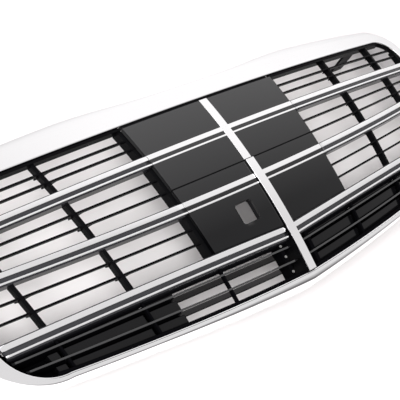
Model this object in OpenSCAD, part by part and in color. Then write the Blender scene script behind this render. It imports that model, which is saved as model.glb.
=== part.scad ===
// Front radiator grille of a large saloon car, millimetres.
// It lies on its back: X runs across the car, +Y is up in the car, and +Z is the way the front faces.
// The front skin is a double curve: a large radius in plan and a smaller one from top to bottom.

/* [Front skin] */
// Radius of the front skin seen from above the car
plan_r = 2200; // [1800:100:3000]
// Radius of the front skin seen from the side
prof_r = 650; // [500:50:900]
// Height on the grille where the skin stands furthest forward
nose_y = 13.5; // [0:0.5:20]
// Height of the furthest point of the skin above the rear plane
nose_z = 112; // [108:1:120]
// Distance below the centre where the upright lines of the grille would meet
fan_r = 1900; // [1500:100:2600]

/* [Opening] */
// Half width of the opening at mid height
opening_half = 404; // [396:1:412]
// Top of the opening on the centre line
opening_top = 117.5; // [116:0.5:119]
// Bottom of the opening on the centre line
opening_bottom = -151.5; // [-154:0.5:-150]
// Radius of the opening's upper corners
upper_corner_r = 40; // [25:1:50]
// Radius of the opening's lower corners
lower_corner_r = 52; // [40:1:60]

/* [Chrome frame] */
// Height of the crease at the top of the frame's face
crease_top = 145.5; // [140:0.5:147]
// Width of the frame's face at the sides
side_face_w = 18; // [14:1:20]
// Width of the lip's face under the opening
lip_face_w = 6; // [5:0.5:7]
// Width of the rolled edge outside the crease at the sides
side_roll_w = 10; // [8:1:12]
// Depth of the rolled edge
roll_d = 12; // [10:0.5:13]
// Depth of the frame's outer wall behind the skin
frame_wall_d = 28; // [26:1:30]
// Thickness of the frame's walls
frame_t = 2.8; // [2.4:0.1:3]

/* [Louvres] */
// Top edges of the three louvres on the centre line
louvre_top = [65, -11, -89.5];
// Height of the wide chrome strip
wide_h = 6.6; // [6:0.1:7]
// Height of the black groove between the strips
groove_h = 5.2; // [4.8:0.1:5.6]
// Height of the narrow chrome strip
narrow_h = 2.6; // [2.2:0.1:3]
// Thickness of the chrome strips
strip_t = 2; // [1.6:0.1:2.2]
// Depth at which the louvre body ends
louvre_d = 13; // [12:0.5:13]
// Wall thickness of the louvre body
louvre_wall = 2.2; // [1.8:0.1:2.6]

/* [Lattice] */
// Places of the upright ribs, as half widths at mid height
rib_x = [123.75, 236, 344];
// Width of a rib
rib_w = 5; // [4:0.5:5.5]
// Depth where the ribs start and end
rib_t = [6, 17];
// Height of a thin bar
bar_h = 2.2; // [2:0.1:2.6]
// Depth where the thin bars start and end
bar_t = [5, 10.5];
// Places of the two thin bars in a row, as shares of the row's height
bar_share = [0.31, 0.635];

/* [Lower row] */
// Height of a lower blade
blade_h = 2.5; // [2:0.1:3]
// Depth where the lower blades start and end
blade_t = [4, 32];
// Places of the two blades, as shares of the row's height
blade_share = [0.2, 0.58];
// Place of the post beside the spine
post_x = 25; // [22:1:28]

/* [Centre module] */
// Half width of the module at mid height
module_half = 120.5; // [119:0.5:121]
// Height of the joint between the radar cover and the camera panel
split_y = 10.7; // [8:0.1:13]
// Gap at that joint
split_gap = 1.5; // [1:0.1:2]
// Depth of the front faces of the two covers
cover_front = 0.8; // [0.6:0.1:1]
// Depth of the rear faces of the two covers
cover_back = 4; // [3.5:0.1:4.5]
// Half width of the upper spine strip
spine_half = 6; // [5:0.1:6.5]
// Half width of the lower spine strip
low_spine_half = 6.6; // [6:0.1:7]
// How far the lower spine strip stands proud of the skin
spine_proud = 3; // [2:0.5:4]
// Side of the square camera opening
camera_w = 27; // [24:1:30]
// Centre of the camera opening
camera_at = [-45, -52];
// Corner radius of the camera opening
camera_r = 4; // [2:0.5:6]

/* [Fixings] */
// Distance between the two outer top bolts
outer_bolts = 660; // [640:10:680]
// Distance between the two inner top bolts
inner_bolts = 180; // [170:5:190]
// Radius of the bolt holes
bolt_hole_r = 3.3; // [2.7:0.1:3.3]
// Radius of the locating pins
pin_r = 4; // [3:0.5:5]
// Free length of the locating pins
pin_l = 14; // [12:1:16]
// Distance between the locating pins
pin_span = 480; // [460:10:500]
// Radius of the screw shanks
screw_r = 1.25; // [1.2:0.05:1.25]

/* [Hidden] */
fit = 0.3;
seam = 0.8;
tab_t = 3.5;
tab_half = 12;
outer_bolt_z = 34;
inner_bolt_z = 54;
bolt_y = 124;
pin_y = -118;
ear_y = [92, 45, -25, -66];
ear_x = 112;
ear_in = 103;
ear_t = [19, 22];
boss_r = 4.5;
pilot_r = 1.3;
louvre_h = wide_h + groove_h + narrow_h;
louvre_edge = 1.5;
rail_h = 4.5;
rail_t = [3, 14];
flange_t = [5.6, 8.6];
flange_w = 9;
end_x = opening_half - 4.4;
carrier_t = [4.2, 18];
$fn = 48;

// Heights of the long curves, at a distance x from the centre line
function opening_top_y(x) = opening_top + 6e-5 * x * x;
function opening_bottom_y(x) = opening_bottom + 0.03 * abs(x) + 1.8e-4 * x * x;
function louvre_y(k, x) =
    k == 0 ? louvre_top[0] + 5.4e-5 * x * x :
    k == 1 ? louvre_top[1] + 1.7e-4 * x * x :
    louvre_top[2] + 0.06 * abs(x) + 3e-5 * x * x;
function split_line_y(x) = split_y + 1.1e-4 * x * x;
function row_top_y(r, x) = r == 0 ? opening_top_y(x) - rail_h : louvre_y(r - 1, x) - louvre_h;
function row_bottom_y(r, x) = r == 3 ? opening_bottom_y(x) : louvre_y(r, x);
function row_y(r, share, x) = row_top_y(r, x) + (row_bottom_y(r, x) - row_top_y(r, x)) * share;

// The upright lines fan out from a point far below the grille
function fan_x(x, y) = x * (1 + y / fan_r);
function fan(p) = [fan_x(p.x, p.y), p.y];
function steps(a, b, n) = [for (i = [0:n]) a + (b - a) * i / n];

// Height of the skin at a point of the front view
function skin_r(y) = plan_r - prof_r + sqrt(prof_r * prof_r - (y - nose_y) * (y - nose_y));
function skin_z(x, y) = nose_z - plan_r + sqrt(skin_r(y) * skin_r(y) - x * x);

// Slab of material between two depths behind the front skin
module layer(t1, t2) {
    translate([0, 0, nose_z - plan_r])
        rotate([-90, 0, 0])
            rotate([0, 0, -104])
                rotate_extrude(angle = 28, $fn = 720)
                    intersection() {
                        translate([plan_r - 100, -200])
                            square([150, 400]);
                        difference() {
                            translate([plan_r - prof_r, nose_y])
                                circle(r = prof_r - t1, $fn = 360);
                            translate([plan_r - prof_r, nose_y])
                                circle(r = prof_r - t2, $fn = 360);
                        }
                    }
}

// A flat outline carried back through the skin, kept between two depths
module shell(t1, t2) {
    intersection() {
        layer(t1, t2);
        linear_extrude(height = nose_z + 20)
            children();
    }
}

// Flat band between two curves, cut off along two upright lines of the fan
module band(xa, xb, top, bottom, n = 6) {
    xs = steps(xa, xb, n);
    sx = steps(xb, xa, n);
    polygon([for (x = xs) fan([x, top(x)]), for (x = sx) fan([x, bottom(x)])]);
}

module upright(xa, xb, top, bottom) {
    band(xa, xb, top, bottom, 1);
}

module on_side(side) {
    mirror([side < 0 ? 1 : 0, 0, 0])
        children();
}

// ---- Chrome frame: rings of points round the opening, stacked into one closed section ----
function arc_pts(cx, cy, r, a1, a2, n) = [
    for (i = [1:n])
        let (a = a1 + (a2 - a1) * i / n)
            [cx + r * cos(a), cy + r * sin(a)]];
function smooth(u) = let (c = min(max(u, 0), 1)) c * c * (3 - 2 * c);
function ring_half(e, top, bottom, rt, rb) = concat(
    [for (x = steps(0, e - rt, 11)) [x, top(x)]],
    arc_pts(e - rt, top(e - rt) - rt, rt, 90, 0, 6),
    [for (y = steps(top(e - rt) - rt, bottom(e - rb) + rb, 4)) if (y < top(e - rt) - rt) [e, y]],
    arc_pts(e - rb, bottom(e - rb) + rb, rb, 0, -90, 6),
    [for (x = steps(e - rb, 0, 11)) if (x < e - rb) [x, bottom(x)]]);
function ring(half) = let (n = len(half)) concat(
    [for (p = half) fan(p)],
    [for (i = [n - 2:-1:1]) fan([-half[i].x, half[i].y])]);

crease_x = opening_half + side_face_w;
outer_x = crease_x + side_roll_w;
inner_ring = ring(ring_half(opening_half, function(x) opening_top_y(x), function(x) opening_bottom_y(x),
    upper_corner_r, lower_corner_r));
crease_ring = ring(ring_half(crease_x, function(x) crease_top, function(x) opening_bottom_y(x) - lip_face_w,
    upper_corner_r + side_face_w, lower_corner_r + side_face_w));
outer_ring = ring(ring_half(outer_x, function(x) crease_top + 5 + 15 * smooth((x - 20) / 170),
    function(x) opening_bottom_y(x) - lip_face_w - max(3, 8 - 0.02 * x),
    upper_corner_r + side_face_w + side_roll_w, lower_corner_r + side_face_w + side_roll_w));
function mix(a, b, f) = [for (i = [0:len(a) - 1]) a[i] + (b[i] - a[i]) * f];
function toward(a, b, d) = [for (i = [0:len(a) - 1]) a[i] + (b[i] - a[i]) * d / norm(b[i] - a[i])];
function at_depth(pts, t) = [for (p = pts) [p.x, p.y, skin_z(p.x, p.y) - t]];
// The outer wall runs down to the rear plane at both ends, where the grille sits in the bumper
function rear_z(p) = (skin_z(p.x, p.y) - frame_wall_d) * (1 - smooth((abs(p.x) - 385) / 45));
function at_rear(pts) = [for (p = pts) [p.x, p.y, rear_z(p)]];

module loft_rings(rings) {
    n = len(rings[0]);
    m = len(rings);
    polyhedron(
        points = [for (r = rings) each r],
        faces = [for (j = [0:m - 1], i = [0:n - 1])
            let (a = j * n + i, b = j * n + (i + 1) % n, k = ((j + 1) % m) * n)
            let (c = k + (i + 1) % n, d = k + i)
            each [[a, b, c], [a, c, d]]]);
}

module chrome_frame() {
    inset = toward(outer_ring, crease_ring, frame_t);
    inner_in = toward(inner_ring, crease_ring, frame_t);
    color("gainsboro")
        loft_rings([
            at_depth(inner_ring, 5.2),
            at_depth(inner_ring, 1.2),
            at_depth(toward(inner_ring, crease_ring, 1.2), 0),
            at_depth(crease_ring, 0),
            at_depth(mix(crease_ring, outer_ring, 0.5), 0.134 * roll_d),
            at_depth(mix(crease_ring, outer_ring, 0.866), 0.5 * roll_d),
            at_depth(outer_ring, roll_d),
            at_rear(outer_ring),
            at_rear(inset),
            at_depth(inset, roll_d),
            at_depth(toward(crease_ring, inner_ring, 1), 3.2),
            at_depth(inner_in, 3.2),
            at_depth(inner_in, 5.2)]);
}

// ---- Black lattice beside the centre module: rails, ribs and thin bars of the three upper rows ----
module louvre_band(k, xa, xb, grow) {
    band(xa, xb, function(x) louvre_y(k, x) + grow, function(x) louvre_y(k, x) - louvre_h - grow);
}

module bar_band(r, share, xa, xb, grow) {
    band(xa, xb, function(x) row_y(r, share, x) + bar_h / 2 + grow,
        function(x) row_y(r, share, x) - bar_h / 2 - grow);
}

// A rib stands behind the bars' fronts, with notches for the bars and the louvres
module rib(x, t2, w) {
    difference() {
        shell(rib_t[0], t2)
            upright(x - w / 2, x + w / 2, function(x) opening_top_y(x) - rail_h - 0.2,
                function(x) side_bottom_y(x));
        shell(-1, louvre_d)
            for (k = [0:2])
                louvre_band(k, x - 8, x + 8, louvre_edge + fit);
        shell(-1, bar_t[1] + 0.1)
            for (r = [0:2], share = bar_share)
                bar_band(r, share, x - 8, x + 8, 0.1);
    }
}

function side_top_y(x) = opening_top_y(x) - upper_corner_r * 0.55;
function side_bottom_y(x) = louvre_y(2, x) - louvre_h / 2 + fit;

// Top rail with its flange behind the chrome frame, its hooks and its bolt tab
module upper_rail(side) {
    rail_end = opening_half - upper_corner_r * 0.6;
    color("#16171a")
        on_side(side) {
            shell(rail_t[0], rail_t[1])
                band(module_half + 1, rail_end, function(x) opening_top_y(x) - fit,
                    function(x) opening_top_y(x) - rail_h);
            shell(flange_t[0], flange_t[1])
                band(module_half + 1.6, rail_end - 1, function(x) opening_top_y(x) + flange_w,
                    function(x) opening_top_y(x) - rail_h + 1);
            shell(3.5, flange_t[0] + 1)
                for (x = [150, 215, 280, 345])
                    band(x - 5, x + 5, function(x) opening_top_y(x) + frame_t + 3,
                        function(x) opening_top_y(x) + frame_t + fit, 1);
            difference() {
                translate([outer_bolts / 2 - tab_half, bolt_y - tab_t, outer_bolt_z - tab_half])
                    cube([2 * tab_half, tab_t,
                        skin_z(outer_bolts / 2, bolt_y) - flange_t[0] - 2 - outer_bolt_z + tab_half]);
                translate([outer_bolts / 2, bolt_y, outer_bolt_z])
                    rotate([90, 0, 0])
                        cylinder(h = 3 * tab_t, r = bolt_hole_r, center = true);
            }
        }
}

// Side rail, open where the louvres end, with its flange and the rounded corner of the flange
module side_rail(side) {
    rail_end = opening_half - upper_corner_r * 0.6;
    corner_y = opening_top_y(opening_half);
    color("#16171a")
        on_side(side) {
            difference() {
                shell(rail_t[0], rail_t[1])
                    upright(end_x - fit, opening_half - fit, function(x) side_top_y(x) - 2,
                        function(x) side_bottom_y(x));
                shell(-1, louvre_d)
                    for (k = [0:2])
                        louvre_band(k, end_x - 8, end_x + 1, louvre_edge + fit);
            }
            shell(flange_t[0], flange_t[1])
                polygon([
                    fan([rail_end + 0.3, corner_y + flange_w - 1]),
                    fan([rail_end + 0.3, corner_y - 3.2]),
                    fan([end_x + 1.5, side_top_y(opening_half) - 1]),
                    fan([end_x + 1.5, side_bottom_y(opening_half) + 2]),
                    fan([opening_half + flange_w, side_bottom_y(opening_half) + 2]),
                    fan([opening_half + flange_w, side_top_y(opening_half) - 1]),
                    fan([opening_half + 1, corner_y - 4]),
                    fan([opening_half - 10, corner_y + 4])]);
        }
}

// Three slanted ribs, the first with ears behind the centre module for the carrier's screws
module ribs(side) {
    color("#16171a")
        on_side(side) {
            rib(rib_x[0], rib_t[1] + 4, rib_w + 0.5);
            for (i = [1:2])
                rib(rib_x[i], rib_t[1], rib_w);
            for (y = ear_y)
                difference() {
                    shell(ear_t[0], ear_t[1])
                        upright(ear_in, rib_x[0] + 1, function(x) y + 5, function(x) y - 5);
                    translate([fan_x(ear_x, y), y, 0])
                        cylinder(h = nose_z, r = 1.8);
                }
        }
}

// Six thin bars, two a row
module bars(side) {
    color("#16171a")
        on_side(side)
            shell(bar_t[0], bar_t[1])
                for (r = [0:2], share = bar_share)
                    bar_band(r, share, module_half + 1, end_x - fit - 0.1, 0);
}

module upper_rail_left() { upper_rail(-1); }
module upper_rail_right() { upper_rail(1); }
module side_rail_left() { side_rail(-1); }
module side_rail_right() { side_rail(1); }
module ribs_left() { ribs(-1); }
module ribs_right() { ribs(1); }
module bars_left() { bars(-1); }
module bars_right() { bars(1); }

// ---- Lower row: two deep blades, their posts and the bottom rail ----
module lattice_lower(side) {
    on_side(side) {
        for (share = blade_share)
            shell(blade_t[0], blade_t[1])
                band(low_spine_half + 2.4, end_x - 26, function(x) row_y(3, share, x) + blade_h / 2,
                    function(x) row_y(3, share, x) - blade_h / 2);
        shell(blade_t[0] + 1, blade_t[0] + 7)
            for (x = rib_x)
                upright(x - 1.5, x + 1.5, function(x) louvre_y(2, x) - louvre_h - louvre_edge - fit,
                    function(x) opening_bottom_y(x) + 1);
        // Closed back of the row, which leaves only the left inner part open to the air
        shell(blade_t[1] - 1.5, blade_t[1] + 1)
            band(side > 0 ? low_spine_half + 3 : 190, opening_half - lower_corner_r * 0.75 - 2,
                function(x) louvre_y(2, x) - louvre_h - 1, function(x) opening_bottom_y(x) + 2);
        shell(rib_t[0] + 1, 26)
            upright(post_x - 3, post_x + 3, function(x) louvre_y(2, x) - louvre_h - louvre_edge - fit,
                function(x) opening_bottom_y(x) + 1);
        // Backing strip behind the third louvre
        shell(louvre_d, rib_t[1])
            band(low_spine_half + 2.4, end_x, function(x) louvre_y(2, x) - louvre_h / 2 - fit,
                function(x) louvre_y(2, x) - louvre_h - 4);
        // Bottom rail
        shell(rail_t[0], 24)
            band(low_spine_half + 2.4, opening_half - lower_corner_r * 0.75 - 1,
                function(x) opening_bottom_y(x) + rail_h,
                function(x) opening_bottom_y(x) + fit);
        // Flange behind the lip, with its rounded corner up to the side
        shell(flange_t[0], 20) {
            band(low_spine_half + 3, opening_half - lower_corner_r * 0.75 - 2,
                function(x) opening_bottom_y(x) + rail_h - 1, function(x) opening_bottom_y(x) - 5);
            polygon([
                fan([opening_half - lower_corner_r * 0.75 - 3, opening_bottom_y(opening_half) + 2.4]),
                fan([opening_half - lower_corner_r * 0.75 - 3, opening_bottom_y(opening_half) - 5.4]),
                fan([opening_half - 18, opening_bottom_y(opening_half) + 16]),
                fan([opening_half - 3.5, opening_bottom_y(opening_half) + 36]),
                fan([opening_half - fit, louvre_y(2, opening_half) - louvre_h / 2 - 1]),
                fan([end_x - 1, louvre_y(2, opening_half) - louvre_h / 2 - 1]),
                fan([opening_half - 14, opening_bottom_y(opening_half) + 36]),
                fan([opening_half - 26, opening_bottom_y(opening_half) + 20])]);
        }
        // Locating pin that points to the rear
        translate([pin_span / 2, pin_y, 0]) {
            z_back = skin_z(pin_span / 2, pin_y) - blade_t[1];
            translate([0, 0, z_back - 4])
                cylinder(h = 4.5, r = pin_r + 2.5);
            translate([0, 0, z_back - 7])
                cylinder(h = 4, r = pin_r - 0.5);
            translate([0, 0, z_back - 6 - pin_l])
                cylinder(h = pin_l, r = pin_r);
        }
    }
}

module lattice_lower_left() {
    color("#16171a")
        lattice_lower(-1);
}

module lattice_lower_right() {
    color("#16171a")
        lattice_lower(1);
}

// ---- Louvres: a black channel with a wide and a narrow chrome strip on its front ----
function louvre_in(k) = k == 2 ? low_spine_half + 1.4 : module_half + seam;

module louvre_body(side, k) {
    xa = louvre_in(k);
    xb = end_x - 2 * fit;
    on_side(side)
        difference() {
            shell(1, louvre_d)
                louvre_band(k, xa, xb, louvre_edge);
            // Seats of the two chrome strips
            shell(-1, strip_t) {
                band(xa - 1, xb + 1, function(x) louvre_y(k, x) + 2 * louvre_edge,
                    function(x) louvre_y(k, x) - wide_h - 0.2);
                band(xa - 1, xb + 1, function(x) louvre_y(k, x) - wide_h - groove_h + 0.2,
                    function(x) louvre_y(k, x) - louvre_h - 2 * louvre_edge);
            }
            // Hollow of the channel
            shell(strip_t + louvre_wall, louvre_d + 1)
                louvre_band(k, xa - 1, xb + 1, louvre_edge - louvre_wall);
        }
}

module strip(side, k, xa, xb, y1, y2, t1, t2) {
    on_side(side)
        shell(t1, t2)
            band(xa, xb, function(x) louvre_y(k, x) - y1, function(x) louvre_y(k, x) - y2);
}

module wide_strip(side, k) {
    strip(side, k, louvre_in(k), end_x - 2 * fit, 0, wide_h, 0, strip_t);
}

module narrow_strip(side, k) {
    strip(side, k, louvre_in(k), end_x - 2 * fit, wide_h + groove_h, louvre_h, 0, strip_t);
}

module louvre_1_left() { color("#1d1f23") louvre_body(-1, 0); }
module louvre_1_right() { color("#1d1f23") louvre_body(1, 0); }
module louvre_2_left() { color("#1d1f23") louvre_body(-1, 1); }
module louvre_2_right() { color("#1d1f23") louvre_body(1, 1); }
module louvre_3_left() { color("#1d1f23") louvre_body(-1, 2); }
module louvre_3_right() { color("#1d1f23") louvre_body(1, 2); }
module wide_strip_1_left() { color("white") wide_strip(-1, 0); }
module wide_strip_1_right() { color("white") wide_strip(1, 0); }
module wide_strip_2_left() { color("white") wide_strip(-1, 1); }
module wide_strip_2_right() { color("white") wide_strip(1, 1); }
module wide_strip_3_left() { color("white") wide_strip(-1, 2); }
module wide_strip_3_right() { color("white") wide_strip(1, 2); }
module narrow_strip_1_left() { color("white") narrow_strip(-1, 0); }
module narrow_strip_1_right() { color("white") narrow_strip(1, 0); }
module narrow_strip_2_left() { color("white") narrow_strip(-1, 1); }
module narrow_strip_2_right() { color("white") narrow_strip(1, 1); }
module narrow_strip_3_left() { color("white") narrow_strip(-1, 2); }
module narrow_strip_3_right() { color("white") narrow_strip(1, 2); }

// ---- Centre module: radar cover above, camera panel below, on one carrier ----
function cover_top_y(x) = opening_top_y(x) - 4;
function panel_bottom_y(x) = louvre_y(2, x) + louvre_edge + 0.6;

module cover_shell(top, bottom) {
    shell(cover_front, cover_back)
        band(-module_half, module_half, top, bottom, 8);
    for (s = [-1, 1])
        on_side(s)
            shell(cover_front, 14)
                upright(module_half - 2.2, module_half, top, bottom);
}

module radar_cover() {
    color("#3c3c3f")
        cover_shell(function(x) cover_top_y(x), function(x) split_line_y(x));
}

module camera_panel() {
    color("#3c3c3f")
        difference() {
            cover_shell(function(x) split_line_y(x) - split_gap, function(x) panel_bottom_y(x));
            linear_extrude(height = nose_z + 20)
                rounded_square(camera_w, camera_r);
        }
}

module rounded_square(w, r) {
    translate(camera_at) {
        square([w, w - 2 * r], center = true);
        square([w - 2 * r, w], center = true);
        for (sx = [-1, 1], sy = [-1, 1])
            translate([sx * (w / 2 - r), sy * (w / 2 - r)])
                circle(r = r);
    }
}

module cover_spine_strip() {
    color("white")
        shell(0, cover_front)
            band(-spine_half, spine_half, function(x) cover_top_y(x), function(x) split_line_y(x), 2);
}

module cover_wide(side, k, xa) {
    strip(side, k, xa, module_half, 0, wide_h, 0, cover_front);
}

module cover_narrow(side, k, xa) {
    strip(side, k, xa, module_half, wide_h + groove_h, louvre_h, 0, cover_front);
}

module cover_wide_strip_left() { color("white") cover_wide(-1, 0, spine_half + fit / 3); }
module cover_wide_strip_right() { color("white") cover_wide(1, 0, spine_half + fit / 3); }
module cover_narrow_strip_left() { color("white") cover_narrow(-1, 0, spine_half + fit / 3); }
module cover_narrow_strip_right() { color("white") cover_narrow(1, 0, spine_half + fit / 3); }
module panel_wide_strip_left() { color("white") cover_wide(-1, 1, low_spine_half + fit); }
module panel_wide_strip_right() { color("white") cover_wide(1, 1, low_spine_half + fit); }
module panel_narrow_strip_left() { color("white") cover_narrow(-1, 1, low_spine_half + fit); }
module panel_narrow_strip_right() { color("white") cover_narrow(1, 1, low_spine_half + fit); }

module lower_spine_strip() {
    color("white")
        shell(-spine_proud, -cover_front)
            band(-low_spine_half, low_spine_half, function(x) split_line_y(x) - split_gap,
                function(x) opening_bottom_y(x) + fit, 2);
}

// Black rail under the lower spine strip, deep in the lowest row
module spine_rail() {
    color("#16171a") {
        shell(-cover_front, cover_front)
            band(-low_spine_half + 1, low_spine_half - 1, function(x) split_line_y(x) - split_gap,
                function(x) opening_bottom_y(x) + fit, 2);
        shell(-cover_front, blade_t[1])
            band(-low_spine_half + 0.6, low_spine_half - 0.6, function(x) louvre_y(2, x) - fit,
                function(x) opening_bottom_y(x) + fit, 2);
    }
}

// Open box behind both covers, with bosses for the rear screws
module centre_carrier() {
    wall = 2.5;
    out = module_half - 2.6;
    color("#202124")
        difference() {
            union() {
                difference() {
                    shell(carrier_t[0], carrier_t[1])
                        band(-out, out, function(x) cover_top_y(x) - 1,
                            function(x) louvre_y(2, x) + louvre_edge + 1, 8);
                    shell(carrier_t[0] - 1, carrier_t[1] + 1)
                        band(-out + wall, out - wall, function(x) cover_top_y(x) - 1 - wall,
                            function(x) split_line_y(x) + wall, 8);
                    shell(carrier_t[0] - 1, carrier_t[1] + 1)
                        band(-out + wall, out - wall, function(x) split_line_y(x) - wall,
                            function(x) louvre_y(2, x) + louvre_edge + 1 + wall, 8);
                }
                // Flange that closes the gap above the radar cover
                shell(flange_t[0], flange_t[1])
                    band(-out - 1, out + 1, function(x) opening_top_y(x) + flange_w - 1,
                        function(x) cover_top_y(x) - 2.4, 8);
                for (s = [-1, 1], y = ear_y)
                    translate([s * fan_x(ear_x, y), y, skin_z(ear_x, y) - ear_t[0] + 1])
                        cylinder(h = ear_t[0] - carrier_t[0] - 3, r = boss_r);
                for (s = [-1, 1])
                    translate([s * inner_bolts / 2 - tab_half, bolt_y - tab_t, inner_bolt_z - tab_half])
                        cube([2 * tab_half, tab_t,
                            skin_z(inner_bolts / 2, bolt_y) - 12 - inner_bolt_z + tab_half]);
                for (s = [-1, 1])
                    translate([s * inner_bolts / 2 - tab_half, cover_top_y(0) - 3,
                        skin_z(inner_bolts / 2, bolt_y) - 20])
                        cube([2 * tab_half, bolt_y - cover_top_y(0) + 3, 8]);
            }
            for (s = [-1, 1], y = ear_y)
                translate([s * fan_x(ear_x, y), y, skin_z(ear_x, y) - ear_t[0] - 2])
                    cylinder(h = 12, r = pilot_r);
            for (s = [-1, 1])
                translate([s * inner_bolts / 2, bolt_y, inner_bolt_z])
                    rotate([90, 0, 0])
                        cylinder(h = 3 * tab_t, r = bolt_hole_r, center = true);
        }
}

// Square tube that holds the camera behind its opening
module camera_bracket() {
    color("#202124")
        difference() {
            shell(cover_back, 16)
                rounded_square(camera_w + 13, camera_r + 2);
            linear_extrude(height = nose_z + 20)
                rounded_square(camera_w + 8, camera_r);
        }
}

module carrier_screws() {
    color("silver")
        for (s = [-1, 1], y = ear_y)
            translate([s * fan_x(ear_x, y), y, skin_z(ear_x, y) - ear_t[1] - 0.5]) {
                translate([0, 0, -2.6])
                    cylinder(h = 2.6, r = 4);
                cylinder(h = 12, r = screw_r);
            }
}

chrome_frame();
upper_rail_left();
upper_rail_right();
side_rail_left();
side_rail_right();
ribs_left();
ribs_right();
bars_left();
bars_right();
lattice_lower_left();
lattice_lower_right();
louvre_1_left();
louvre_1_right();
louvre_2_left();
louvre_2_right();
louvre_3_left();
louvre_3_right();
wide_strip_1_left();
wide_strip_1_right();
wide_strip_2_left();
wide_strip_2_right();
wide_strip_3_left();
wide_strip_3_right();
narrow_strip_1_left();
narrow_strip_1_right();
narrow_strip_2_left();
narrow_strip_2_right();
narrow_strip_3_left();
narrow_strip_3_right();
radar_cover();
cover_spine_strip();
cover_wide_strip_left();
cover_wide_strip_right();
cover_narrow_strip_left();
cover_narrow_strip_right();
camera_panel();
lower_spine_strip();
spine_rail();
panel_wide_strip_left();
panel_wide_strip_right();
panel_narrow_strip_left();
panel_narrow_strip_right();
centre_carrier();
camera_bracket();
carrier_screws();
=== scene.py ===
from math import cos, pi, radians, sin, sqrt

import bmesh
import bpy
from mathutils import Matrix, Vector


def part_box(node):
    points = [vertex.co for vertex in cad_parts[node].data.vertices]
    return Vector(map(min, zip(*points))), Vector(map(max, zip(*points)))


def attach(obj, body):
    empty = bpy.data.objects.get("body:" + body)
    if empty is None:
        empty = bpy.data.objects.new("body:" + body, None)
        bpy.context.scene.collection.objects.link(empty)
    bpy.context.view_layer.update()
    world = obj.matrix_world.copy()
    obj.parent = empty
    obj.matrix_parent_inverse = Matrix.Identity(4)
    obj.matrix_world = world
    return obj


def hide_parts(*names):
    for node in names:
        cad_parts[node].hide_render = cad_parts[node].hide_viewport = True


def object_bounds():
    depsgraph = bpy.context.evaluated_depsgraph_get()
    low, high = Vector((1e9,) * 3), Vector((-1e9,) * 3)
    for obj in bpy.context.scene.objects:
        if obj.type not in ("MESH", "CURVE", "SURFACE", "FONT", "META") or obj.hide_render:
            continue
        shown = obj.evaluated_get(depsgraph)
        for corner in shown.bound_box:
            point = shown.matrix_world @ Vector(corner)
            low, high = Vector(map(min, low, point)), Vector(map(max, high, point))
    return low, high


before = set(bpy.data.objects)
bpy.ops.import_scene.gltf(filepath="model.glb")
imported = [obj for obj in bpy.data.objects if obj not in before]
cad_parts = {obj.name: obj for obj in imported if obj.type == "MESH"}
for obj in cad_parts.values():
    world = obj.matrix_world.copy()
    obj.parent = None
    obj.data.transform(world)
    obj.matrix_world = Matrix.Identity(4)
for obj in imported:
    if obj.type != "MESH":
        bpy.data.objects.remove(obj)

cad_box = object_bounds()
scene = bpy.context.scene

# Camera: a short telephoto view from above one end and the lower edge of the grille, which lies on
# its back with its front upwards.
camera_data = bpy.data.cameras.new("camera")
camera_data.sensor_width = 36
camera_data.lens = 73.8
camera = bpy.data.objects.new("camera", camera_data)
scene.collection.objects.link(camera)
scene.camera = camera
camera_over = 0.7807
camera_right = Vector((0.7613, -0.5369, 0.3635))
camera_up = Vector((0.3357, 0.8060, 0.4875))
camera_back = camera_right.cross(camera_up)
camera_turn = Matrix((camera_right, camera_up, camera_back)).transposed().to_4x4()
camera.matrix_world = Matrix.Translation((-0.6462, -0.2609, cad_box[1].z + camera_over)) @ camera_turn


# Louvres: dark channels moulded in gloss plastic, three a side, with one wide and one narrow plated
# strip clipped to each front and a groove between them. Like every piece, they follow the grille's
# front skin, which is curved across the car and from top to bottom. Sizes are in millimetres.
plan_r = 2200
profile_r = 650
nose_y = 13.5
spine_proud = 3
nose_z = 1000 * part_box("lower_spine_strip")[1].z - spine_proud
fan_r = 1900


def skin_z(x, y, w=0):
    """Height of the skin, or of a surface w in front of it."""
    r = plan_r - profile_r + sqrt((profile_r + w) ** 2 - (y - nose_y) ** 2)
    return nose_z - plan_r + sqrt(r * r - x * x)


def fan_x(x, y):
    """Place across the car of an upright line, which leans out from a point far below."""
    return x * (1 + y / fan_r)


def on_skin(x, y, w):
    """A point of the flat layout laid on the skin, in metres."""
    across = fan_x(x, y)
    return Vector((across, y, skin_z(across, y, w))) / 1000


opening_half = 404
side_rail = 4.4
module_half = 120.5
module_clear = 0.8
low_spine_half = 6.6
spine_clear = 1.4
wide_h = 6.6
groove_h = 5.2
narrow_h = 2.6
louvre_h = wide_h + groove_h + narrow_h
louvre_edge = 1.5
louvre_d = 13
groove_d = 1
strip_t = 2
strip_fit = 0.2
channel_wall = 2.2
louvre_end = opening_half - side_rail - 0.6
# Height at the centre, slope and bow of the top line of each louvre
louvre_lines = ((65, 0, 5.4e-5), (-11, 0, 1.7e-4), (-89.5, 0.06, 3e-5))
strip_faces = {"wide": (0, -wide_h), "narrow": (-wide_h - groove_h, -louvre_h)}
sides = {"left": -1, "right": 1}

channel = [
    (louvre_edge, -louvre_d), (louvre_edge, -strip_t),
    (-wide_h - strip_fit, -strip_t), (-wide_h - strip_fit, -groove_d),
    (-wide_h - groove_h + strip_fit, -groove_d), (-wide_h - groove_h + strip_fit, -strip_t),
    (-louvre_h - louvre_edge, -strip_t), (-louvre_h - louvre_edge, -louvre_d),
    (-louvre_h - louvre_edge + channel_wall, -louvre_d),
    (-louvre_h - louvre_edge + channel_wall, -strip_t - channel_wall),
    (louvre_edge - channel_wall, -strip_t - channel_wall), (louvre_edge - channel_wall, -louvre_d)]


def bowed(line, x):
    height, slope, bow = line
    return height + slope * abs(x) + bow * x * x


def louvre_y(k, x):
    return bowed(louvre_lines[k], x)


def span(side, near, far):
    return (near, far) if side > 0 else (-far, -near)


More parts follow.
